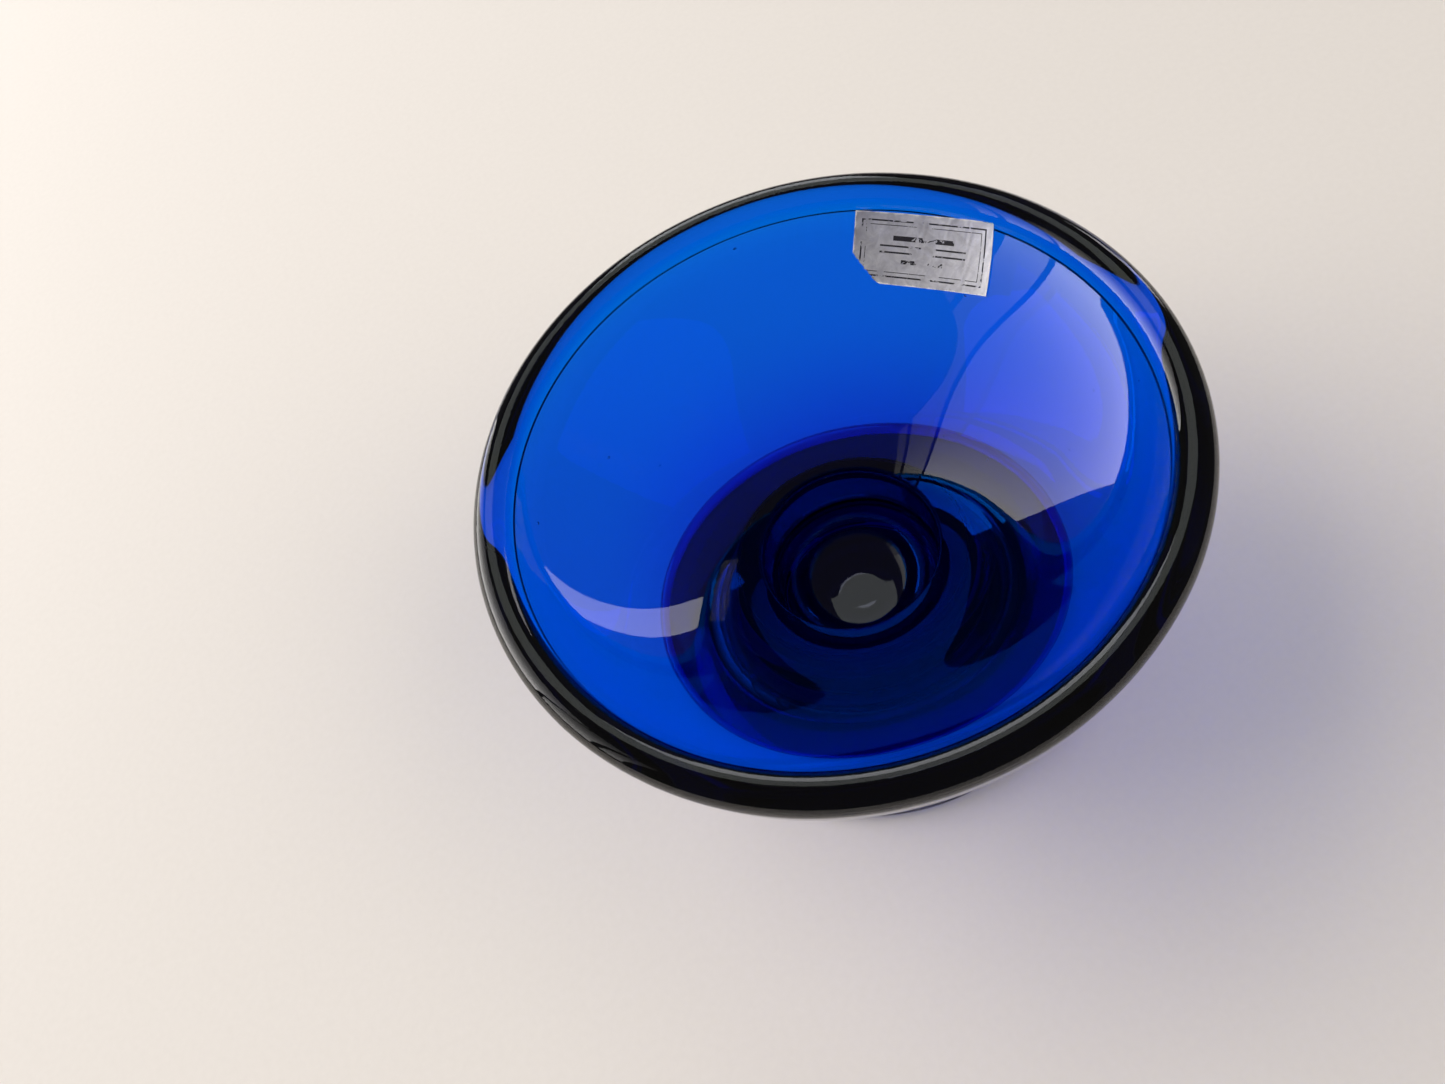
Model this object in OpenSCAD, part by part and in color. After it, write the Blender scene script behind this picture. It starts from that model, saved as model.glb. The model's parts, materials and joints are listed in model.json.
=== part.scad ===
// Low glass candlestick: a flared bell-shaped bowl with a beaded lip, a thick
// neck that holds the candle, a disc foot, and a foil label stuck in the bowl.
// Origin at the middle of the table under the foot, +Z up, millimetres.

/* [Overall] */
// Diameter over the beaded lip
rim_d = 85; // [76:0.5:102]
// Height from the table to the top of the lip
height = 47; // [43:0.5:56]
// Diameter of the disc foot
foot_d = 60.4; // [53:0.2:74]

/* [Lip] */
// Diameter of the bead wound round the lip
bead_d = 4.6; // [4.5:0.1:5.6]
// How far the bead stands out past the outside of the wall
bead_proud = 0.1; // [0.1:0.05:0.4]
// How far the bowl's edge reaches into the bead, short of its middle
edge_short = 0.6; // [0.3:0.1:0.7]
// Slope of the flat collar on the bead's outer side, in degrees
collar_slope = 78; // [72:1:80]
// How far the collar runs down from the bead
collar_h = 2.4; // [2:0.1:2.8]
// Radius of the collar's lower edge
collar_round = 0.9; // [0.8:0.05:1.1]

/* [Bowl] */
// Wall thickness of the bowl at the lip; it thickens towards the neck
wall_rim = 3.8; // [3:0.1:3.9]
// How fast the wall thickens below the lip, over the wall's whole length
lip_swell = 16; // [8:0.5:18]
// Slope of the bowl's inside where it leaves the neck, in degrees
slope_neck = 44; // [38:1:50]
// Slope of the bowl's inside where it runs into the bead, in degrees
slope_rim = 62; // [54:1:66]

/* [Neck] */
// Outside diameter of the neck where the bowl sits on it
neck_d = 35.4; // [32:0.2:40]
// Diameter of the candle socket
socket_d = 23; // [20:0.1:25.4]
// Straight depth of the candle socket
socket_depth = 4.5; // [4:0.1:9]
// Height of the rounded floor of the socket above the neck's underside
socket_floor = 3.6; // [1:0.1:4.4]
// Radius between the socket's wall and its floor
floor_round = 8.5; // [4:0.1:9]
// Radius of the rounded mouth of the socket
mouth_round = 2; // [1.2:0.1:3]
// Radius of the fillet where the neck spreads onto the foot
neck_fillet = 4; // [2:0.1:5]

/* [Foot] */
// Thickness of the foot at its edge
foot_edge = 3.4; // [2.8:0.1:3.6]
// Rise of the foot's top from the edge to the neck
foot_rise = 0.8; // [0.2:0.1:1.6]
// Width of the ground ring that the foot stands on
ring_w = 10; // [6:0.1:11]
// Distance from the foot's edge to the ground ring
ring_inset = 1.8; // [1.8:0.1:3]
// Height of the hollow inside the ground ring
kick = 1.1; // [0.5:0.1:1.8]

/* [Label] */
// Length of the foil label round the bowl
label_w = 18.6; // [14:0.2:21.4]
// Height of the foil label up the wall
label_h = 9.2; // [7:0.2:11]
// Width of the torn corner, and its height
label_corner = 3.8; // [2:0.1:5]
// Thickness of the adhesive
adhesive_t = 0.08; // [0.05:0.01:0.15]
// Thickness of the foil and its paper
foil_t = 0.14; // [0.1:0.01:0.25]
// Distance along the wall from the bead to the label's upper edge
label_drop = 1.8; // [1.4:0.1:5]
// Bearing of the label's middle, from +X towards +Y, in degrees
label_bearing = 45; // [0:1:359]
// Turn of the label from level, in degrees
label_turn = 3; // [-3:1:3]

/* [Hidden] */
$fn = 96;
glass = [0.02, 0.12, 0.72];
curve_steps = 24;

bead_c = [(rim_d - bead_d) / 2, height - bead_d / 2];
foot_r = foot_d / 2;
neck_r = neck_d / 2;
socket_r = socket_d / 2;
foot_top = foot_edge + foot_rise;
floor_z = foot_top + socket_floor;
straight_z = floor_z + floor_round;
mouth_c = [socket_r + mouth_round, straight_z + socket_depth];

// Unit vectors along and square to a line that climbs outwards at angle a.
function along(a) = [cos(a), sin(a)];
function below(a) = [sin(a), -cos(a)];

// n + 1 points on an arc about c, from angle a to angle b.
function arc(c, r, a, b, n) =
    [for (i = [0:n]) c + r * [cos(a + (b - a) * i / n), sin(a + (b - a) * i / n)]];

// Inside of the bowl: one cubic curve from the socket's mouth to the bead.
// wall_in is how far the wall's inside lies from the middle of the bead.
throat = mouth_c + mouth_round * [-sin(slope_neck), cos(slope_neck)];
wall_in = wall_rim + bead_proud - bead_d / 2;
lip = bead_c - wall_in * below(slope_rim) - edge_short * along(slope_rim);
reach = norm(lip - throat) / 3;
bend = [throat, throat + reach * along(slope_neck), lip - reach * along(slope_rim), lip];
wall_neck = (neck_r - throat[0]) / sin(slope_neck);

function inside(t) =
    pow(1 - t, 3) * bend[0] + 3 * t * pow(1 - t, 2) * bend[1]
    + 3 * t * t * (1 - t) * bend[2] + pow(t, 3) * bend[3];
function heading(t) =
    pow(1 - t, 2) * (bend[1] - bend[0]) + 2 * t * (1 - t) * (bend[2] - bend[1])
    + t * t * (bend[3] - bend[2]);
function slope(t) = atan2(heading(t)[1], heading(t)[0]);
function wall(t) = wall_rim + (wall_neck - wall_rim) * pow(1 - t, 1.5)
    + lip_swell * (1 - t) * pow(t, 5);

// A line that runs beside the bowl's inside, d below it, from t = a to t = b.
function beside(d, a, b, n) =
    [for (i = [0:n]) let (t = a + (b - a) * i / n) inside(t) + d * below(slope(t))];
underside = [for (i = [0:curve_steps]) let (t = 1 - i / curve_steps)
    inside(t) + wall(t) * below(slope(t))];
joint = underside[curve_steps];

module bowl() {
    color(glass)
        rotate_extrude()
            polygon(concat(beside(0, 0, 1, curve_steps), underside));
}

// The bead is wound on hot and pressed to a collar on its outer side, so it
// wraps the bowl's edge with no gap.
module rim_bead() {
    collar_c = bead_c + (bead_d / 2 - collar_round) * below(collar_slope)
        - collar_h * along(collar_slope);
    color(glass)
        rotate_extrude()
            difference() {
                polygon(concat(
                    arc(bead_c, bead_d / 2, collar_slope - 90, 235, 66),
                    arc(collar_c, collar_round, -150, collar_slope - 90, 12)
                ));
                polygon(concat(beside(0, 0, 1, curve_steps), underside));
            }
}

module socket_neck() {
    fillet_c = [neck_r + neck_fillet, foot_top + neck_fillet];
    floor_c = [socket_r - floor_round, straight_z];
    color(glass)
        rotate_extrude()
            polygon(concat(
                [[0, foot_top], [fillet_c[0], foot_top]],
                arc(fillet_c, neck_fillet, 268, 180, 10),
                [joint],
                arc(mouth_c, mouth_round, 90 + slope_neck, 180, 10),
                arc(floor_c, floor_round, 0, -90, 12),
                [[0, floor_z]]
            ));
}

// Disc foot with a rounded edge, ground flat on a ring round a shallow hollow.
module foot() {
    edge_r = foot_edge / 2;
    edge_c = [foot_r - edge_r, edge_r];
    ring_out = foot_r - ring_inset;
    ring_in = ring_out - ring_w;
    flat_r = neck_r + neck_fillet;
    color(glass)
        rotate_extrude()
            polygon(concat(
                [[0, kick], [ring_in - 2 * kick, kick], [ring_in, 0], [ring_out, 0]],
                arc(edge_c, edge_r, -90, 90, 20),
                [[flat_r, foot_top], [0, foot_top]]
            ));
}

// Outline of the label, laid flat: upper edge on y = 0, torn at a lower corner.
module label_outline() {
    polygon([
        [-label_w / 2, 0], [label_w / 2, 0], [label_w / 2, -label_h],
        [label_corner - label_w / 2, -label_h], [-label_w / 2, label_corner - label_h]
    ]);
}

// A layer of the label: it follows the wall from depth a to depth b above it,
// on the same corner points as the wall. shore is how far the wall runs into the bead.
shore = sqrt(pow(bead_d / 2, 2) - pow(wall_in, 2)) - edge_short;
label_end = 1 - (label_drop + shore) / norm(lip - throat);
label_start = label_end - label_h / norm(lip - throat);
module label_layer(a, b) {
    sweep_a = 2 * asin(label_w / 2 / inside(label_start)[0]) + 6;
    middle = (inside(label_start) + inside(label_end)) / 2;
    tilt = slope((label_start + label_end) / 2);
    first = floor(label_start * curve_steps) - 2;
    steps = curve_steps - first;
    rotate([0, 0, label_bearing])
        intersection() {
            rotate([0, 0, -sweep_a / 2])
                rotate_extrude(angle = sweep_a)
                    polygon(concat(
                        beside(-b, first / curve_steps, 1, steps),
                        beside(-a, 1, first / curve_steps, steps)
                    ));
            translate([middle[0], 0, middle[1]])
                rotate([0, -tilt, 0])
                    rotate([0, 0, label_turn - 90])
                        translate([0, label_h / 2, -5])
                            linear_extrude(10) label_outline();
        }
}
module label_adhesive() { color([0.8, 0.78, 0.7]) label_layer(0, adhesive_t); }
module label_foil() { color([0.78, 0.78, 0.8]) label_layer(adhesive_t, adhesive_t + foil_t); }

bowl();
rim_bead();
socket_neck();
foot();
label_adhesive();
label_foil();
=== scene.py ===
import json
import math

import bpy
from mathutils import Matrix, Vector


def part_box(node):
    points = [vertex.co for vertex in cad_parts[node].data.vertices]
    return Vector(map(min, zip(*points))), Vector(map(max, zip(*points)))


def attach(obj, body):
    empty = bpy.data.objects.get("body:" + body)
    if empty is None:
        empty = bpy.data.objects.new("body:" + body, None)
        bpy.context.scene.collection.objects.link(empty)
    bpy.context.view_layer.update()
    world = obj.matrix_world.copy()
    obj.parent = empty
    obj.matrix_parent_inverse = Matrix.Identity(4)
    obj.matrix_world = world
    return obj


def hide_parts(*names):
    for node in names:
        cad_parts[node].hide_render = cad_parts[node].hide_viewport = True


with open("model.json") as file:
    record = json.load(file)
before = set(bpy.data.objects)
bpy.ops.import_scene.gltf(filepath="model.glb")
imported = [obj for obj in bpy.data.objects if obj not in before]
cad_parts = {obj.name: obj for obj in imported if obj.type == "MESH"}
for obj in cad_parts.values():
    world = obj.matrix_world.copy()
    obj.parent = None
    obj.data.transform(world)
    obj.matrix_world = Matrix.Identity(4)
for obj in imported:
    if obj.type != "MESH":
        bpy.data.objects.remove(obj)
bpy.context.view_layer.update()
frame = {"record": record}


# ---------------------------------------------------------------------------
# Bowl: the flared, bell-shaped wall. Soda glass coloured with cobalt, blown
# and opened out on the pipe, thick at the neck and thinner out to the lip,
# with a swell just below it. It is fused hot to the neck and to the bead.
# ---------------------------------------------------------------------------

TURN_STEPS = 360            # facets round the axis
RUN_ON = 2e-5               # short run that keeps a fused joint's skin in line
WAVER_ROOM = 0.00005        # left for the skin's waver inside the designed size
WALL_AT_LIP = 0.0038
WALL_FALL = 1.5             # how soon the wall thins on its way from the neck
SWELL = 0.016               # how much the wall thickens just below the lip
SWELL_RISE = 5              # how late that swell begins
SLOPE_AT_NECK = 44
SLOPE_AT_LIP = 62
EDGE_SHORT = 0.0006
BEAD_RADIUS = 0.0023
BEAD_PROUD = 0.0001         # how far the bead stands out past the wall's outside
COLLAR_SLOPE = 78           # the bead is pressed to a collar on its outer side
COLLAR_REACH = 0.0024
COLLAR_ROUND = 0.0009
MOUTH_ROUND = 0.002
NECK_FILLET = 0.004
UNDER_FILLET = 0.0016       # where the underside runs into the neck
STEP_FILLET = 0.0009        # where the wall's inside runs into the bead
UNDER_STEP_FILLET = 0.0002  # where its outside runs into the collar
COBALT_PASS = (0.0, 0.80, 0.995)   # share of each colour that the glass lets by
COBALT_DEPTH = 1900.0
GLASS_IOR = 1.52


def toward(degrees):
    a = math.radians(degrees)
    return Vector((math.cos(a), math.sin(a)))


def below(direction):
    return Vector((direction.y, -direction.x))


def arc(middle, radius, start, end, steps):
    return [middle + radius * toward(start + (end - start) * i / steps) for i in range(steps + 1)]


def fillet(corner, before, after, radius, steps):
    """Points that round a corner, from the line towards before to the line towards after."""
    a, b = (before - corner).normalized(), (after - corner).normalized()
    half = a.angle(b) / 2
    back = radius / math.tan(half)
    middle = corner + (a + b).normalized() * (radius / math.sin(half))
    start, end = corner + a * back - middle, corner + b * back - middle
    turn = start.angle_signed(end)
    points = []
    for i in range(steps + 1):
        w = -turn * i / steps
        points.append(middle + Vector((
            start.x * math.cos(w) - start.y * math.sin(w),
            start.x * math.sin(w) + start.y * math.cos(w),
        )))
    return points


socket_bore = next(m for m in frame["record"]["mounts"] if m["name"] == "candle_socket")
bore_radius = socket_bore["dims"]["r_mm"] / 1000
bore_top = socket_bore["pos_m"][2] + socket_bore["dims"]["length_mm"] / 2000
bore_foot = socket_bore["pos_m"][2] - socket_bore["dims"]["length_mm"] / 2000
lip_radius, lip_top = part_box("rim_bead")[1].x - WAVER_ROOM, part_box("rim_bead")[1].z - WAVER_ROOM
neck_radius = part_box("socket_neck")[1].x - NECK_FILLET

bead_middle = Vector((lip_radius - BEAD_RADIUS, lip_top - BEAD_RADIUS))
mouth_middle = Vector((bore_radius + MOUTH_ROUND, bore_top))
throat = mouth_middle + MOUTH_ROUND * toward(90 + SLOPE_AT_NECK)
lip = (bead_middle - (WALL_AT_LIP + BEAD_PROUD - BEAD_RADIUS) * below(toward(SLOPE_AT_LIP))
       - EDGE_SHORT * toward(SLOPE_AT_LIP))
pull = (lip - throat).length / 3
bend = (throat, throat + pull * toward(SLOPE_AT_NECK), lip - pull * toward(SLOPE_AT_LIP), lip)
wall_at_neck = (neck_radius - throat.x) / math.sin(math.radians(SLOPE_AT_NECK))


def wall_inside(t):
    u = 1 - t
    return bend[0] * u ** 3 + bend[1] * 3 * t * u * u + bend[2] * 3 * t * t * u + bend[3] * t ** 3


def wall_heading(t):
    u = 1 - t
    return ((bend[1] - bend[0]) * u * u + (bend[2] - bend[1]) * 2 * t * u
            + (bend[3] - bend[2]) * t * t).normalized()


def wall_outside(t):
    thick = (WALL_AT_LIP + (wall_at_neck - WALL_AT_LIP) * (1 - t) ** WALL_FALL
             + SWELL * (1 - t) * t ** SWELL_RISE)
    return wall_inside(t) + thick * below(wall_heading(t))


WALL_STEPS = 400            # how finely a line of the wall is searched
HALVINGS = 30


def meets(line, middle, radius):
    """Where a line of the wall first runs into a round, as a share of its length."""
    high = next(i / WALL_STEPS for i in range(WALL_STEPS // 2, WALL_STEPS + 1)
                if (line(i / WALL_STEPS) - middle).length < radius)
    low = high - 1 / WALL_STEPS
    for _ in range(HALVINGS):
        t = (low + high) / 2
        if (line(t) - middle).length > radius:
            low = t
        else:
            high = t
    return low


def step_fillet(line, t, middle, side, radius):
    """The small hollow between the wall and the bead, from the wall's side on."""
    at = line(t)
    spoke = (at - middle).normalized()
    along_bead = Vector((-spoke.y, spoke.x)) * side
    return fillet(at, line(t - 0.01), at + along_bead * 0.001, radius, 6)


WALL_ROWS = 56
ROW_GAP = 2e-4              # rows of the wall keep this far from its ends
collar_middle = (bead_middle + (BEAD_RADIUS - COLLAR_ROUND) * below(toward(COLLAR_SLOPE))
                 - COLLAR_REACH * toward(COLLAR_SLOPE))
inner_meet = meets(wall_inside, bead_middle, BEAD_RADIUS)
outer_meet = meets(wall_outside, collar_middle, COLLAR_ROUND)
inner_step = step_fillet(wall_inside, inner_meet, bead_middle, -1, STEP_FILLET)
outer_step = step_fillet(wall_outside, outer_meet, collar_middle, 1, UNDER_STEP_FILLET)
under_corner = wall_outside(0)
under_turn = fillet(under_corner, under_corner - Vector((0, 0.01)), wall_outside(0.06),
                    UNDER_FILLET, 8)


def wall_run(line, first, last, start, end):
    """Points on a line of the wall between two points that lie on it already."""
    rows = [line(first + (last - first) * i / WALL_ROWS) for i in range(WALL_ROWS + 1)]
    way = (end - start).normalized()
    return [p for p in rows if (p - start).dot(way) > ROW_GAP and (end - p).dot(way) > ROW_GAP]


def short_of(end, back):
    """A point close to a joint, on the side of the next point back."""
    return end + (back - end).normalized() * RUN_ON


# The outline runs round the glass with the glass on its left. Each point says
# what the strip from it to the next one is.
SKIN, JOINT, GROUND = 0, 1, 2
outer_rows = wall_run(wall_outside, 0, outer_meet, under_turn[-1], outer_step[0])
inner_rows = wall_run(wall_inside, inner_meet, 0, inner_step[0], throat)
neck_top = under_turn[0]
bowl_outline = (
    [(neck_top, SKIN), (short_of(neck_top, neck_top + Vector((0, 1))), SKIN)]
    + [(p, SKIN) for p in under_turn[1:] + outer_rows]
    + [(short_of(outer_step[0], outer_rows[-1]), SKIN), (outer_step[0], JOINT)]
    + [(inner_step[0], SKIN), (short_of(inner_step[0], inner_rows[0]), SKIN)]
    + [(p, SKIN) for p in inner_rows]
    + [(throat + RUN_ON * toward(SLOPE_AT_NECK), SKIN), (throat, JOINT), (neck_top, SKIN)]
)


class Tree:
    """Short hand for building a node tree: node() makes one and wires it."""

    def __init__(self, tree):
        self.tree = tree

    def node(self, kind, inputs=(), **settings):
        n = self.tree.nodes.new(kind)
        for key, value in settings.items():
            setattr(n, key, value)
        for socket, value in dict(inputs).items():
            target = n.inputs[socket]
            if isinstance(value, bpy.types.NodeSocket):
                self.tree.links.new(value, target)
            else:
                target.default_value = value
        return n

    def math(self, operation, a, b=None, c=None, clamp=False):
        inputs = {i: v for i, v in enumerate((a, b, c)) if v is not None}
        return self.node("ShaderNodeMath", inputs, operation=operation, use_clamp=clamp).outputs[0]

    def vector(self, operation, a, b=None, scale=None):
        inputs = {i: v for i, v in enumerate((a, b)) if v is not None}
        n = self.node("ShaderNodeVectorMath", inputs, operation=operation)
        if scale is not None:
            self.tree.links.new(scale, n.inputs["Scale"])
        return n.outputs[0]


def tree_inputs(group, sockets):
    for name, kind, value in sockets:
        s = group.interface.new_socket(name, in_out="INPUT", socket_type=kind)
        if value is not None:
            s.default_value = value


def turning_tree():
    """Geometry nodes that turn an outline about the axis, as the glass was turned."""
    group = bpy.data.node_groups.new("turned glass", "GeometryNodeTree")
    tree_inputs(group, [
        ("Outline", "NodeSocketGeometry", None),
        ("Steps Round", "NodeSocketInt", TURN_STEPS),
        ("Waver", "NodeSocketFloat", 0.0),
        ("Waver Size", "NodeSocketFloat", 0.02),
        ("Still Below", "NodeSocketFloat", 0.001),
        ("Crease", "NodeSocketFloat", math.radians(24)),
        ("Seeds", "NodeSocketInt", 0),
        ("Seed Size", "NodeSocketFloat", 0.0001),
        ("Seed Rows", "NodeSocketInt", 1),
        ("Skin", "NodeSocketMaterial", None),
        ("Joint", "NodeSocketMaterial", None),
        ("Ground", "NodeSocketMaterial", None),
    ])
    group.interface.new_socket("Glass", in_out="OUTPUT", socket_type="NodeSocketGeometry")
    t = Tree(group)
    given = t.node("NodeGroupInput")
    g = given.outputs

    def at_point(row, source="position"):
        if source == "position":
            value, kind = t.node("GeometryNodeInputPosition").outputs[0], "FLOAT_VECTOR"
        else:
            value, kind = t.node("GeometryNodeInputNamedAttribute", {"Name": source},
                                 data_type="INT").outputs[0], "INT"
        n = t.node("GeometryNodeSampleIndex", {"Geometry": g["Outline"], "Value": value,
                                               "Index": row}, data_type=kind, domain="POINT")
        return n.outputs[0]

    def spun(point, angle):
        xyz = t.node("ShaderNodeSeparateXYZ", {0: point}).outputs
        return t.node("ShaderNodeCombineXYZ", {
            0: t.math("MULTIPLY", xyz[0], t.math("COSINE", angle)),
            1: t.math("MULTIPLY", xyz[0], t.math("SINE", angle)), 2: xyz[2]}).outputs[0]

    rows = t.node("GeometryNodeAttributeDomainSize", {
        "Geometry": g["Outline"]}).outputs["Point Count"]
    grid = t.node("GeometryNodeMeshGrid", {
        "Vertices X": t.math("ADD", g["Steps Round"], 1), "Vertices Y": rows}).outputs["Mesh"]
    index = t.node("GeometryNodeInputIndex").outputs[0]
    row = t.math("MODULO", index, rows)
    column = t.math("FLOOR", t.math("DIVIDE", t.math("ADD", index, 0.5), rows))
    angle = t.math("DIVIDE", t.math("MULTIPLY", column, 2 * math.pi), g["Steps Round"])
    named = t.node("GeometryNodeStoreNamedAttribute", {
        "Geometry": grid, "Name": "row", "Value": row},
        data_type="FLOAT", domain="POINT").outputs[0]
    turned = t.node("GeometryNodeSetPosition", {
        "Geometry": named, "Position": spun(at_point(row), angle)}).outputs[0]
    strip = at_point(t.math("FLOOR", t.node("GeometryNodeInputNamedAttribute", {
        "Name": "row"}, data_type="FLOAT").outputs[0]), "strip")
    marked = t.node("GeometryNodeStoreNamedAttribute", {
        "Geometry": turned, "Name": "strip", "Value": strip},
        data_type="INT", domain="FACE").outputs[0]

    # A hand-worked skin wavers a little, but the ground ring stays flat.
    place = t.node("GeometryNodeInputPosition").outputs[0]
    noise = t.node("ShaderNodeTexNoise", {
        "Vector": place, "Scale": t.math("DIVIDE", 1.0, g["Waver Size"]), "Detail": 1.0,
        "Roughness": 0.4}).outputs["Color"]
    lift = t.node("ShaderNodeMapRange", {
        "Value": t.node("ShaderNodeSeparateXYZ", {0: place}).outputs[2],
        "From Min": g["Still Below"], "From Max": t.math("MULTIPLY", g["Still Below"], 4.0)},
        interpolation_type="SMOOTHSTEP").outputs[0]
    shift = t.vector("SCALE", t.vector("SUBTRACT", noise, (0.5, 0.5, 0.5)),
                     scale=t.math("MULTIPLY", lift, g["Waver"]))
    wavered = t.node("GeometryNodeSetPosition", {"Geometry": marked, "Offset": shift}).outputs[0]
    closed = t.node("GeometryNodeMergeByDistance", {
        "Geometry": wavered, "Distance": 2e-7}).outputs[0]
    smooth = t.node("GeometryNodeSetShadeSmooth", {"Geometry": closed}, domain="FACE").outputs[0]
    bent = t.node("GeometryNodeInputMeshEdgeAngle").outputs[0]
    creased = t.node("GeometryNodeSetShadeSmooth", {
        "Geometry": smooth, "Selection": t.math("GREATER_THAN", bent, g["Crease"]),
        "Shade Smooth": False}, domain="EDGE").outputs[0]

    # Seeds: tiny bubbles in the wall, drawn out the way the glass was turned.
    def chance(low, high, seed, kind="FLOAT"):
        n = t.node("FunctionNodeRandomValue", {"Seed": seed}, data_type=kind)
        sockets = [s for s in n.inputs if s.enabled and s.name in {"Min", "Max"}]
        for s, v in zip(sockets, (low, high)):
            if isinstance(v, bpy.types.NodeSocket):
                group.links.new(v, s)
            else:
                s.default_value = v
        return next(s for s in n.outputs if s.enabled)

    level = chance(4, g["Seed Rows"], 3, "INT")
    opposite = t.math("SUBTRACT", t.math("SUBTRACT", rows, 3), level)
    depth = chance(0.3, 0.7, 5)
    inside = t.vector("SCALE", at_point(level), scale=depth)
    outside = t.vector("SCALE", at_point(opposite), scale=t.math("SUBTRACT", 1.0, depth))
    bearing = chance(0.0, 2 * math.pi, 8)
    points = t.node("GeometryNodePoints", {
        "Count": g["Seeds"],
        "Position": spun(t.vector("ADD", inside, outside), bearing)}).outputs[0]
    bubble = t.node("GeometryNodeMeshIcoSphere", {"Radius": 1.0, "Subdivisions": 2}).outputs[0]
    void = t.node("GeometryNodeFlipFaces", {"Mesh": bubble}).outputs[0]
    size = t.math("MULTIPLY", g["Seed Size"], chance(0.35, 1.0, 13))
    long = t.math("MULTIPLY", size, chance(1.0, 2.4, 21))
    seeds = t.node("GeometryNodeInstanceOnPoints", {
        "Points": points, "Instance": void,
        "Rotation": t.node("ShaderNodeCombineXYZ", {2: bearing}).outputs[0],
        "Scale": t.node("ShaderNodeCombineXYZ", {0: size, 1: long, 2: size}).outputs[0]}).outputs[0]
    seeds = t.node("GeometryNodeSetShadeSmooth", {
        "Geometry": t.node("GeometryNodeRealizeInstances", {"Geometry": seeds}).outputs[0]},
        domain="FACE").outputs[0]
    joined = t.node("GeometryNodeJoinGeometry")
    for part in (creased, seeds):
        group.links.new(part, joined.inputs[0])
    whole = t.node("GeometryNodeRealizeInstances", {"Geometry": joined.outputs[0]}).outputs[0]
    kind = t.node("GeometryNodeInputNamedAttribute", {"Name": "strip"}, data_type="INT").outputs[0]
    whole = t.node("GeometryNodeSetMaterial", {"Geometry": whole, "Material": g["Skin"]}).outputs[0]
    for number, name in ((JOINT, "Joint"), (GROUND, "Ground")):
        whole = t.node("GeometryNodeSetMaterial", {
            "Geometry": whole, "Material": g[name],
            "Selection": t.math("COMPARE", kind, number, 0.1)}).outputs[0]
    t.node("NodeGroupOutput", {0: whole})
    return group


def turned_piece(name, outline, settings):
    """Turns an outline into one plain closed mesh."""
    flat = bpy.data.meshes.new(name + "_outline")
    flat.from_pydata([(p.x, 0, p.y) for p, _ in outline],
                     [(i, i + 1) for i in range(len(outline) - 1)], [])
    strips = flat.attributes.new("strip", "INT", "POINT")
    strips.data.foreach_set("value", [kind for _, kind in outline])
    blank = bpy.data.objects.new(name + "_blank", flat)
    bpy.context.scene.collection.objects.link(blank)
    turn = blank.modifiers.new("turn", "NODES")
    turn.node_group = turning
    sockets = {s.name: s.identifier for s in turning.interface.items_tree if s.in_out == "INPUT"}
    for key, value in settings.items():
        turn[sockets[key]] = value
    bpy.context.view_layer.update()
    evaluated = blank.evaluated_get(bpy.context.evaluated_depsgraph_get())
    mesh = bpy.data.meshes.new_from_object(evaluated)
    bpy.data.objects.remove(blank)
    mesh.name = name
    for spare in ("row", "strip"):
        if spare in mesh.attributes:
            mesh.attributes.remove(mesh.attributes[spare])
    piece = bpy.data.objects.new(name, mesh)
    bpy.context.scene.collection.objects.link(piece)
    return piece


def handling_group():
    """Shader nodes for what hands and years leave on a surface: smears and dust."""
    group = bpy.data.node_groups.new("handling", "ShaderNodeTree")
    tree_inputs(group, [
        ("Smear Size", "NodeSocketFloat", 0.012), ("Clean", "NodeSocketFloat", 0.02),
        ("Smeared", "NodeSocketFloat", 0.08), ("Grit Size", "NodeSocketFloat", 0.0006)])
    for out in ("Roughness", "Height", "Dust"):
        group.interface.new_socket(out, in_out="OUTPUT", socket_type="NodeSocketFloat")
    t = Tree(group)
    g = t.node("NodeGroupInput").outputs
    place = t.node("ShaderNodeTexCoord").outputs["Object"]
    smear = t.node("ShaderNodeTexNoise", {
        "Vector": place, "Scale": t.math("DIVIDE", 1.0, g["Smear Size"]), "Detail": 4.0,
        "Roughness": 0.62, "Distortion": 0.8}).outputs["Fac"]
    smeared = t.node("ShaderNodeMapRange", {
        "Value": smear, "From Min": 0.52, "From Max": 0.74, "To Min": g["Clean"],
        "To Max": g["Smeared"]}).outputs[0]
    grit = t.node("ShaderNodeTexVoronoi", {
        "Vector": place, "Scale": t.math("DIVIDE", 1.0, t.math("MULTIPLY", g["Grit Size"], 9.0))})
    dust = t.math("LESS_THAN", grit.outputs["Distance"], 0.07)
    few = t.node("ShaderNodeSeparateColor", {0: grit.outputs["Color"]}).outputs[0]
    dust = t.math("MULTIPLY", dust, t.math("GREATER_THAN", few, 0.86))
    t.node("NodeGroupOutput", {"Roughness": smeared, "Height": smear, "Dust": dust})
    return group


def absorbing(t, out):
    """The cobalt in the body of the glass: it darkens with the way through it."""
    cobalt = t.node("ShaderNodeVolumeAbsorption", {
        "Color": (*COBALT_PASS, 1), "Density": COBALT_DEPTH})
    t.tree.links.new(cobalt.outputs[0], out.inputs["Volume"])


def fresh_material(name):
    material = bpy.data.materials.new(name)
    material.use_nodes = True
    t = Tree(material.node_tree)
    shader = next(n for n in t.tree.nodes if n.type == "BSDF_PRINCIPLED")
    out = next(n for n in t.tree.nodes if n.type == "OUTPUT_MATERIAL")
    return material, t, shader, out


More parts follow.
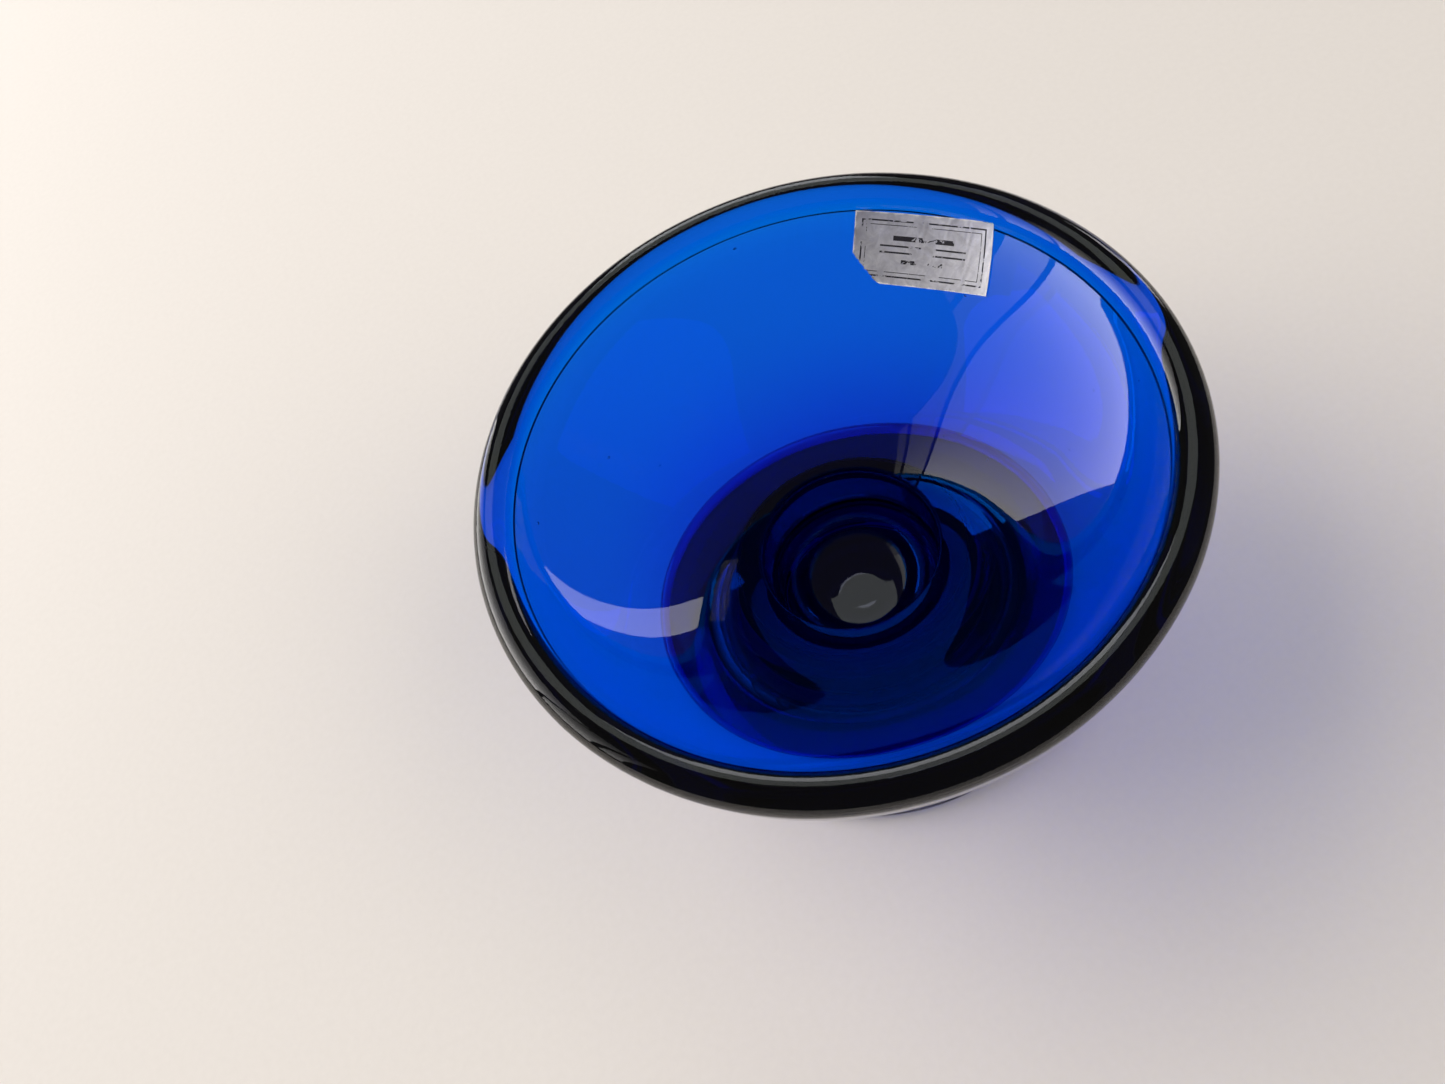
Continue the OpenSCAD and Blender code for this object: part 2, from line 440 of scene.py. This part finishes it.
def glass_material(name, clean, smeared, ripple):
    material, t, shader, out = fresh_material(name)
    shader.inputs["Base Color"].default_value = (1, 1, 1, 1)
    shader.inputs["Transmission Weight"].default_value = 1.0
    shader.inputs["IOR"].default_value = GLASS_IOR
    marks = t.node("ShaderNodeGroup", node_tree=handling)
    marks.inputs["Clean"].default_value = clean
    marks.inputs["Smeared"].default_value = smeared
    t.tree.links.new(marks.outputs["Roughness"], shader.inputs["Roughness"])
    bump = t.node("ShaderNodeBump", {
        "Strength": 1.0, "Distance": ripple, "Height": marks.outputs["Height"]})
    t.tree.links.new(bump.outputs[0], shader.inputs["Normal"])
    absorbing(t, out)
    return material


def joint_material():
    """Glass fused to glass shows no surface, so only the cobalt is left of it."""
    material, t, shader, out = fresh_material("fused_joint")
    shader.inputs["Base Color"].default_value = (1, 1, 1, 1)
    shader.inputs["Alpha"].default_value = 0.0
    absorbing(t, out)
    return material


turning = turning_tree()
handling = handling_group()
cobalt_glass = glass_material("cobalt_glass", 0.0, 0.05, 4e-6)
fused_joint = joint_material()
HAND_WAVER = 0.00016
WAVER_SIZE = 0.02
BOWL_SEEDS = 16
SEED_SIZE = 0.00016
GLASS = {"Skin": cobalt_glass, "Joint": fused_joint, "Ground": cobalt_glass,
         "Waver": HAND_WAVER, "Waver Size": WAVER_SIZE}
bowl = turned_piece("bowl_glass", bowl_outline, {
    **GLASS, "Seeds": BOWL_SEEDS, "Seed Size": SEED_SIZE,
    "Seed Rows": len(under_turn) + len(outer_rows) - 4})
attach(bowl, "root")
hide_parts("bowl")


# ---------------------------------------------------------------------------
# Lip bead: a thick cord of the same glass, wound hot round the bowl's edge
# and melted in. It stands proud of the wall inside, with a small hollow where
# they meet, and is pressed to a steep collar outside.
# ---------------------------------------------------------------------------

def spoke_angle(point, middle):
    d = point - middle
    return math.degrees(math.atan2(d.y, d.x))


MELD = 4e-6                 # air left between two fused pieces
across = (outer_step[0] - inner_step[0]).normalized()
lift_off = MELD * Vector((-across.y, across.x))
collar_run = arc(collar_middle, COLLAR_ROUND, spoke_angle(outer_step[-1], collar_middle),
                 COLLAR_SLOPE - 90, 12)
bead_round = arc(bead_middle, BEAD_RADIUS, COLLAR_SLOPE - 90,
                 spoke_angle(inner_step[-1], bead_middle) % 360, 72)
collar_side = [collar_run[-1].lerp(bead_round[0], i / 5) for i in range(1, 5)]
bead_run = collar_run + collar_side + bead_round
bead_outline = (
    [(outer_step[0] + lift_off, SKIN), (short_of(outer_step[0], outer_step[1]) + lift_off, SKIN)]
    + [(p, SKIN) for p in outer_step[1:-1] + bead_run + inner_step[-2:0:-1]]
    + [(short_of(inner_step[0], inner_step[1]) + lift_off, SKIN), (inner_step[0] + lift_off, JOINT)]
    + [(outer_step[0] + lift_off, SKIN)]
)
rim_bead = turned_piece("rim_bead_glass", bead_outline, GLASS)
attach(rim_bead, "root")
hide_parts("rim_bead")


# ---------------------------------------------------------------------------
# Neck: the stubby stem of solid cobalt glass with the candle socket pressed
# into it while hot. The socket has straight sides and a round floor, its
# mouth is rounded into the bowl, and the stem spreads onto the foot.
# ---------------------------------------------------------------------------

FLOOR_ROUND = 0.0085
FOOT_EDGE = 0.0034
foot_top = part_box("socket_neck")[0].z
floor_middle = Vector((bore_radius - FLOOR_ROUND, bore_foot))
spread_middle = Vector((neck_radius + NECK_FILLET, foot_top + NECK_FILLET))
foot_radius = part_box("foot")[1].x
edge_middle = Vector((foot_radius - FOOT_EDGE / 2, FOOT_EDGE / 2))
top_rise = math.degrees(math.atan2(foot_top - FOOT_EDGE, edge_middle.x - spread_middle.x))
spread = arc(spread_middle, NECK_FILLET, 270 - top_rise, 180, 14)
mouth = arc(mouth_middle, MOUTH_ROUND, 90 + SLOPE_AT_NECK, 180, 14)
socket_floor = arc(floor_middle, FLOOR_ROUND, 0, -90, 24)
seam_up = Vector((0, MELD))
seam_way = (throat - neck_top).normalized()
seam_down = -MELD * Vector((seam_way.y, -seam_way.x))
neck_outline = (
    [(Vector((0, foot_top)) + seam_up, JOINT), (spread[0] + seam_up, SKIN)]
    + [(short_of(spread[0], spread[1]) + seam_up, SKIN)]
    + [(p, SKIN) for p in spread[1:]]
    + [(neck_top.lerp(spread[-1], 0.5), SKIN)]
    + [(short_of(neck_top, spread[-1]) + seam_down, SKIN), (neck_top + seam_down, JOINT)]
    + [(throat + seam_down, SKIN), (throat - RUN_ON * toward(SLOPE_AT_NECK) + seam_down, SKIN)]
    + [(p, SKIN) for p in mouth[1:]]
    + [(mouth[-1].lerp(socket_floor[0], i / 6), SKIN) for i in range(1, 6)]
    + [(p, SKIN) for p in socket_floor]
    + [(Vector((socket_floor[-1].x * i / 4, socket_floor[-1].y)), SKIN) for i in (3, 2, 1, 0)]
)
neck = turned_piece("socket_neck_glass", neck_outline, GLASS)
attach(neck, "root")
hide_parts("socket_neck")


# ---------------------------------------------------------------------------
# Foot: a pressed disc of cobalt glass, melted onto the neck. Its edge is
# fire-polished round. Underneath, a broad ring is ground flat to stand on,
# round a shallow hollow.
# ---------------------------------------------------------------------------

RING_WIDTH = 0.01
RING_INSET = 0.0018
HOLLOW = 0.0011
RING_FILLET = 0.0005
EDGE_FILLET = 0.001
ring_out = Vector((foot_radius - RING_INSET, 0))
ring_in = Vector((ring_out.x - RING_WIDTH, 0))
hollow_edge = Vector((ring_in.x - 2 * HOLLOW, HOLLOW))
edge_round = arc(edge_middle, FOOT_EDGE / 2, -84, 84, 30)
into_hollow = fillet(hollow_edge, Vector((0, HOLLOW)), ring_in, 2 * HOLLOW, 6)
out_of_hollow = fillet(ring_in, hollow_edge, ring_out, RING_FILLET, 5)
up_to_edge = fillet(ring_out, ring_in, edge_round[0], EDGE_FILLET, 5)
ground_glass = glass_material("ground_glass", 0.28, 0.5, 1.2e-5)
foot_outline = (
    [(Vector((into_hollow[0].x * i / 6, HOLLOW)), SKIN) for i in range(6)]
    + [(p, SKIN) for p in into_hollow + out_of_hollow[:-1]]
    + [(out_of_hollow[-1], GROUND), (up_to_edge[0], SKIN)]
    + [(p, SKIN) for p in up_to_edge[1:] + edge_round]
    + [(edge_round[-1].lerp(spread[0], i / 5), SKIN) for i in range(1, 5)]
    + [(short_of(spread[0], edge_round[-1]), SKIN), (spread[0], JOINT)]
    + [(Vector((0, foot_top)), SKIN)]
)
foot = turned_piece("foot_glass", foot_outline, {**GLASS, "Ground": ground_glass})
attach(foot, "root")
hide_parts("foot")


# ---------------------------------------------------------------------------
# Label gum: a film of dried adhesive, brushed on the back of the label. It
# holds the foil to the inside of the wall, close under the bead, and a
# sliver of it is left bare at the torn corner.
# ---------------------------------------------------------------------------

LABEL_WIDTH = 0.0186
LABEL_HEIGHT = 0.0092
TORN = 0.0038
LABEL_TURN = 3
GUM_THICK = 0.00008
FOIL_THICK = 0.00014
CLEARANCE = 0.00001
RAGGED = 0.00012            # how far the torn edge wanders
GUM_TRIM = 0.0002           # how far the gum stays inside the foil's edge
GUM_BARE = 0.0006           # how much of it the tear lays bare
label_low, label_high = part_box("label_foil")
label_middle = (label_low + label_high) / 2
label_bearing = math.atan2(label_middle.y, label_middle.x)

wall_lengths = [0.0]
for i in range(1, WALL_STEPS + 1):
    step = wall_inside(i / WALL_STEPS) - wall_inside((i - 1) / WALL_STEPS)
    wall_lengths.append(wall_lengths[-1] + step.length)
label_share = min((i / WALL_STEPS for i in range(WALL_STEPS + 1)),
                  key=lambda t: abs(wall_inside(t).y - label_middle.z))
label_way = wall_lengths[round(label_share * WALL_STEPS)]
label_slant = wall_inside(label_share).x / wall_heading(label_share).x


def on_wall(x, y, lift):
    """A point of the label, laid flat from its middle, as it lies on the wall."""
    a = math.radians(LABEL_TURN)
    x, y = x * math.cos(a) - y * math.sin(a), x * math.sin(a) + y * math.cos(a)
    reach = math.hypot(x, label_slant + y)
    way = label_way + reach - label_slant
    i = max(j for j in range(WALL_STEPS) if wall_lengths[j] <= way)
    t = (i + (way - wall_lengths[i]) / (wall_lengths[i + 1] - wall_lengths[i])) / WALL_STEPS
    p = wall_inside(t) - lift * below(wall_heading(t))
    turn = label_bearing - math.atan2(x, label_slant + y) * label_slant / wall_inside(label_share).x
    return Vector((p.x * math.cos(turn), p.x * math.sin(turn), p.y))


def label_sheet(name, low, high, trim, bare):
    """A closed sheet on the wall, between two heights over it, torn at one corner."""
    columns, lines = 96, 52
    vertices, uvs, faces = [], [], []
    for top in (True, False):
        for j in range(lines + 1):
            y = LABEL_HEIGHT * (0.5 - j / lines)
            drop = LABEL_HEIGHT / 2 - y
            torn = max(0.0, (drop - (LABEL_HEIGHT - TORN)) / TORN)
            left = -LABEL_WIDTH / 2 + (TORN - bare) * torn ** 1.15
            left += torn ** 0.5 * RAGGED * (math.sin(9100 * drop) + math.sin(15700 * drop + 1))
            left, right = left + trim, LABEL_WIDTH / 2 - trim
            y *= 1 - 2 * trim / LABEL_HEIGHT
            for i in range(columns + 1):
                x = left + (right - left) * i / columns
                vertices.append(on_wall(x, y, high(x, y) if top else low(x, y)))
                uvs.append((x / LABEL_WIDTH + 0.5, y / LABEL_WIDTH + 0.5))
    count = (columns + 1) * (lines + 1)
    for j in range(lines):
        for i in range(columns):
            a = j * (columns + 1) + i
            b, c, d = a + 1, a + columns + 2, a + columns + 1
            faces += [(a, d, c, b), (a + count, b + count, c + count, d + count)]
    edge = ([i for i in range(columns)]
            + [columns + j * (columns + 1) for j in range(lines)]
            + [count - 1 - i for i in range(columns)]
            + [(lines - j) * (columns + 1) for j in range(lines)])
    for a, b in zip(edge, edge[1:] + edge[:1]):
        faces.append((a, b, b + count, a + count))
    mesh = bpy.data.meshes.new(name)
    mesh.from_pydata(vertices, [], faces)
    layer = mesh.uv_layers.new(name="label")
    for loop in mesh.loops:
        layer.data[loop.index].uv = uvs[loop.vertex_index]
    mesh.shade_smooth()
    mesh.update()
    edges = set()
    for a, b in zip(edge, edge[1:] + edge[:1]):
        edges |= {frozenset((a, b)), frozenset((a + count, b + count))}
    for e in mesh.edges:
        if frozenset(e.vertices) in edges:
            e.use_edge_sharp = True
    sheet = bpy.data.objects.new(name, mesh)
    bpy.context.scene.collection.objects.link(sheet)
    return sheet


gum_material, gum, gum_shader, _ = fresh_material("dried_gum")
gum_place = gum.node("ShaderNodeTexCoord").outputs["Object"]
gum_streaks = gum.node("ShaderNodeTexNoise", {
    "Vector": gum_place, "Scale": 900.0, "Detail": 5.0, "Roughness": 0.6}).outputs["Fac"]
gum_tone = gum.node("ShaderNodeValToRGB", {"Fac": gum_streaks})
gum_tone.color_ramp.elements[0].position = 0.32
gum_tone.color_ramp.elements[0].color = (0.33, 0.27, 0.17, 1)
gum_tone.color_ramp.elements[1].position = 0.7
gum_tone.color_ramp.elements[1].color = (0.62, 0.57, 0.45, 1)
gum.tree.links.new(gum_tone.outputs[0], gum_shader.inputs["Base Color"])
gum_shader.inputs["Roughness"].default_value = 0.42
gum_bump = gum.node("ShaderNodeBump", {"Strength": 0.6, "Distance": 2e-5, "Height": gum_streaks})
gum.tree.links.new(gum_bump.outputs[0], gum_shader.inputs["Normal"])

adhesive = label_sheet("label_gum", lambda x, y: CLEARANCE, lambda x, y: GUM_THICK,
                       GUM_TRIM, GUM_BARE)
adhesive.data.materials.append(gum_material)
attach(adhesive, "root")
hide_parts("label_adhesive")


# ---------------------------------------------------------------------------
# Label foil: silver foil on paper, rubbed and lightly creased, with a lower
# corner torn away. Its print is only a ruled frame and plain bars, most of
# it worn off.
# ---------------------------------------------------------------------------

CORNER_LIFT = 0.00016
CORNER_REACH = 0.0028
END_LIFT = 0.00006
FOIL_LIFT = 3e-5            # room for the creases over the gum
WORN = 0.72                 # how much of the print the rubbing took


def creases(x, y):
    """How the foil lies over its gum: faint creases, and a lift at the torn corner."""
    fold = 1.2e-5 * math.sin(1500 * x + 2600 * y + 3 * math.sin(900 * y))
    fold += 9e-6 * math.sin(3900 * x - 1700 * y + 2 * math.sin(2100 * x))
    corner = Vector((x + LABEL_WIDTH / 2 - TORN * 0.6, y + LABEL_HEIGHT / 2 - TORN * 0.5)).length
    lift = CORNER_LIFT * max(0.0, 1 - corner / CORNER_REACH) ** 2
    ends = END_LIFT * max(0.0, (abs(x) - 0.0072) / 0.0017) ** 2
    return fold + lift + ends


foil_material, foil, foil_shader, _ = fresh_material("silver_foil")
foil_uv = foil.node("ShaderNodeSeparateXYZ", {
    0: foil.node("ShaderNodeUVMap", uv_map="label").outputs[0]}).outputs
from_middle_x = foil.math("ABSOLUTE", foil.math("SUBTRACT", foil_uv[0], 0.5))
from_middle_y = foil.math("ABSOLUTE", foil.math("SUBTRACT", foil_uv[1], 0.5))
half_height = LABEL_HEIGHT / LABEL_WIDTH / 2


def band(value, middle, width):
    return foil.math("COMPARE", value, middle, width)


def box_frame(inset, width):
    """A ruled rectangle, as two pairs of lines that stop at each other."""
    far_x, far_y = 0.5 - inset, half_height - inset
    upright = foil.math("MULTIPLY", band(from_middle_x, far_x, width),
                        foil.math("LESS_THAN", from_middle_y, far_y + width))
    level = foil.math("MULTIPLY", band(from_middle_y, far_y, width),
                      foil.math("LESS_THAN", from_middle_x, far_x + width))
    return foil.math("MAXIMUM", upright, level)


def bar(height, half_width, thick):
    return foil.math("MULTIPLY", band(foil_uv[1], 0.5 + height, thick),
                     foil.math("LESS_THAN", from_middle_x, half_width))


print_mask = box_frame(0.055, 0.0055)
for mark in (box_frame(0.085, 0.0025), bar(0.075, 0.22, 0.017), bar(0.02, 0.31, 0.006),
             bar(-0.025, 0.31, 0.006), bar(-0.085, 0.15, 0.014)):
    print_mask = foil.math("MAXIMUM", print_mask, mark)
rub = foil.node("ShaderNodeTexNoise", {
    "Vector": foil.node("ShaderNodeTexCoord").outputs["Object"], "Scale": 620.0, "Detail": 6.0,
    "Roughness": 0.72, "Distortion": 0.6}).outputs["Fac"]
patches = foil.node("ShaderNodeTexNoise", {
    "Vector": foil.node("ShaderNodeTexCoord").outputs["Object"], "Scale": 210.0, "Detail": 2.0,
    "Roughness": 0.5}).outputs["Fac"]
left_on = foil.math("GREATER_THAN", foil.math(
    "ADD", rub, foil.math("MULTIPLY", patches, 0.5)), WORN)
ink = foil.math("MULTIPLY", print_mask, left_on)
edge_near = foil.math("MAXIMUM", foil.math("SUBTRACT", from_middle_x, 0.5 - 0.02),
                      foil.math("SUBTRACT", from_middle_y, half_height - 0.02))
bare_paper = foil.math("GREATER_THAN", foil.math(
    "ADD", foil.math("MULTIPLY", edge_near, 14.0), rub), WORN)
tone = foil.node("ShaderNodeValToRGB", {"Fac": rub})
tone.color_ramp.elements[0].position = 0.3
tone.color_ramp.elements[0].color = (0.52, 0.51, 0.54, 1)
tone.color_ramp.elements[1].position = 0.68
tone.color_ramp.elements[1].color = (0.8, 0.79, 0.81, 1)


def blend(share, first, second):
    """A colour that goes from first to second."""
    return foil.node("ShaderNodeMix", {0: share, 6: first, 7: second}, data_type="RGBA").outputs[2]


papered = blend(bare_paper, tone.outputs[0], (0.78, 0.75, 0.7, 1))
inked = blend(ink, papered, (0.018, 0.016, 0.02, 1))
foil.tree.links.new(inked, foil_shader.inputs["Base Color"])
covered = foil.math("MAXIMUM", ink, bare_paper)
foil.tree.links.new(foil.math("MULTIPLY", foil.math("SUBTRACT", 1.0, covered), 0.6),
                    foil_shader.inputs["Metallic"])
foil.tree.links.new(foil.math("ADD", foil.math("MULTIPLY", rub, 0.3), 0.28),
                    foil_shader.inputs["Roughness"])
foil_bump = foil.node("ShaderNodeBump", {"Strength": 0.8, "Distance": 3e-5, "Height": rub})
foil.tree.links.new(foil_bump.outputs[0], foil_shader.inputs["Normal"])

label = label_sheet(
    "label_foil_sheet", lambda x, y: GUM_THICK + CLEARANCE + creases(x, y) + FOIL_LIFT,
    lambda x, y: GUM_THICK + FOIL_THICK + creases(x, y) + FOIL_LIFT, 0.0, 0.0)
label.data.materials.append(foil_material)
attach(label, "root")
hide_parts("label_foil")


# ---------------------------------------------------------------------------
# The floor, the studio lights and the camera. The floor is a plain pale
# sheet. A tall soft window stands at the back left, and smaller lamps at the
# back, above and at the right give the glass its other reflections.
# ---------------------------------------------------------------------------

FLOOR_HALF = 0.5
floor_mesh = bpy.data.meshes.new("studio_floor")
floor_mesh.from_pydata([(x, y, -0.00003) for x, y in (
    (-FLOOR_HALF, -FLOOR_HALF), (FLOOR_HALF, -FLOOR_HALF), (FLOOR_HALF, FLOOR_HALF),
    (-FLOOR_HALF, FLOOR_HALF))], [], [(0, 1, 2, 3)])
floor = bpy.data.objects.new("studio_floor", floor_mesh)
bpy.context.scene.collection.objects.link(floor)
paper_material, paper, paper_shader, _ = fresh_material("pale_floor")
grain = paper.node("ShaderNodeTexNoise", {
    "Vector": paper.node("ShaderNodeTexCoord").outputs["Object"], "Scale": 900.0, "Detail": 4.0})
paper_tone = paper.node("ShaderNodeValToRGB", {"Fac": grain.outputs["Fac"]})
paper_tone.color_ramp.elements[0].color = (0.70, 0.655, 0.61, 1)
paper_tone.color_ramp.elements[1].color = (0.74, 0.695, 0.65, 1)
paper.tree.links.new(paper_tone.outputs[0], paper_shader.inputs["Base Color"])
paper_shader.inputs["Roughness"].default_value = 0.75
floor.data.materials.append(paper_material)


LAMP_TARGET = (0, 0, 0.03)


def soft_lamp(name, place, width, height, watts, colour, target=LAMP_TARGET, roll=0.0):
    lamp = bpy.data.lights.new(name, "AREA")
    lamp.shape = "RECTANGLE"
    lamp.size, lamp.size_y = width, height
    lamp.energy, lamp.color = watts, colour
    stand = bpy.data.objects.new(name, lamp)
    bpy.context.scene.collection.objects.link(stand)
    aim = (Vector(target) - Vector(place)).to_track_quat("-Z", "Y").to_matrix().to_4x4()
    stand.matrix_world = (Matrix.Translation(place) @ aim
                          @ Matrix.Rotation(math.radians(roll), 4, "Z"))
    return lamp


def graded(lamp, low, high, rise):
    """Makes a lamp as bright as low says at its foot and as high says at its head."""
    lamp.use_nodes = True
    t = Tree(lamp.node_tree)
    glow = next(n for n in t.tree.nodes if n.type == "EMISSION")
    up = t.node("ShaderNodeSeparateXYZ", {0: t.node("ShaderNodeNewGeometry").outputs["Parametric"]})
    fall = t.math("POWER", t.math("SUBTRACT", 1.0, up.outputs[1], clamp=True), rise)
    t.tree.links.new(t.math("ADD", high, t.math("MULTIPLY", fall, low - high)),
                     glow.inputs["Strength"])


DAYLIGHT = (1.0, 0.975, 0.95)
WINDOW_BEARING = 155
WINDOW_DISTANCE = 0.8
WINDOW_SILL = 0.055
WINDOW_HEAD = 0.95
WINDOW_POWER = 18.0         # watts for each square metre
WINDOW_FADE = 2.2           # how soon it fades above the sill
HEAD_SHARE = 0.13           # how bright its head is beside its sill
WINDOW_PANES = ((192, 186.5, 0.3), (184, 169.5, 0.5), (167.5, 117, 1.0))


def window_lamp():
    """The key lamp: a wide, low window, brighter near its sill, with two glazing bars."""
    height = WINDOW_HEAD - WINDOW_SILL
    out = math.radians(WINDOW_BEARING)
    for i, (start, end, share) in enumerate(WINDOW_PANES):
        a, b = (math.tan(math.radians(v - WINDOW_BEARING)) * WINDOW_DISTANCE
                for v in (start, end))
        middle, width = (a + b) / 2, abs(a - b)
        place = (WINDOW_DISTANCE * math.cos(out) - middle * math.sin(out),
                 WINDOW_DISTANCE * math.sin(out) + middle * math.cos(out),
                 (WINDOW_SILL + WINDOW_HEAD) / 2)
        lamp = soft_lamp(f"window_pane_{i + 1}", place, width, height,
                         WINDOW_POWER * width * height, DAYLIGHT,
                         target=(place[0] - math.cos(out), place[1] - math.sin(out), place[2]))
        graded(lamp, share, HEAD_SHARE * share, WINDOW_FADE)


def soft_lamp_at(name, azimuth, elevation, distance, width, height, radiance, colour, roll=0):
    """A lamp seen from the bowl in a given direction, as bright as radiance says."""
    a, e = math.radians(azimuth), math.radians(elevation)
    place = Vector((math.cos(a) * math.cos(e), math.sin(a) * math.cos(e), math.sin(e))) * distance
    place += Vector(LAMP_TARGET)
    return soft_lamp(name, place, width, height, radiance * math.pi * width * height, colour,
                     roll=roll)


window_lamp()
soft_lamp_at("low_strip", 34.5, 12, 0.9, 0.34, 0.13, 2.8, (0.95, 0.93, 1.0), roll=48)
soft_lamp_at("ceiling", 77, 64.5, 1.2, 0.085, 0.05, 1.5, (0.75, 0.78, 1.0))
soft_lamp_at("back_panel", 80, 27, 1.0, 0.4, 0.42, 2.8, (0.95, 0.97, 1.0))
soft_lamp_at("high_panel", 80, 52, 1.2, 0.75, 0.5, 0.8, (0.93, 1.0, 0.93))
soft_lamp_at("soft_key", 150, 45, 1.0, 0.9, 0.9, 3.3, DAYLIGHT)
soft_lamp_at("soft_fill", -35, 40, 1.0, 0.9, 0.9, 2.1, (1.0, 0.96, 0.93))
for name in ("soft_key", "soft_fill"):
    bpy.data.objects[name].visible_glossy = False

ROOM_GLOW = 0.1
WALLS_SEEN = 0.6            # how much brighter the plain walls are drawn than they shine
room = bpy.data.worlds.new("room")
room.use_nodes = True
sky = Tree(room.node_tree)
seen = next(n for n in room.node_tree.nodes if n.type == "BACKGROUND")
seen.inputs["Color"].default_value = (0.72, 0.7, 0.7, 1)
is_camera = sky.node("ShaderNodeLightPath").outputs["Is Camera Ray"]
sky.tree.links.new(sky.math("ADD", ROOM_GLOW, sky.math("MULTIPLY", is_camera, WALLS_SEEN)),
                   seen.inputs["Strength"])
bpy.context.scene.world = room

SENSOR_WIDTH = 36
LENS_LENGTH = 29.2734
CAMERA_PLACE = (-0.01467, -0.0749, 0.15693)
camera_right = Vector((0.8978, -0.3738, -0.2327)).normalized()
camera_up = Vector((0.4403, 0.7622, 0.4745)).normalized()
camera_data = bpy.data.cameras.new("camera")
camera_data.sensor_width = SENSOR_WIDTH
camera_data.lens = LENS_LENGTH
camera_data.clip_start = 0.005
camera = bpy.data.objects.new("camera", camera_data)
bpy.context.scene.collection.objects.link(camera)
camera.matrix_world = Matrix.Translation(CAMERA_PLACE) @ Matrix(
    (camera_right, camera_up, camera_right.cross(camera_up))).transposed().to_4x4()
bpy.context.scene.camera = camera
bpy.context.scene.view_settings.view_transform = "Standard"
bpy.context.scene.cycles.max_bounces = 24
bpy.context.scene.cycles.transmission_bounces = 20
bpy.context.scene.cycles.transparent_max_bounces = 24
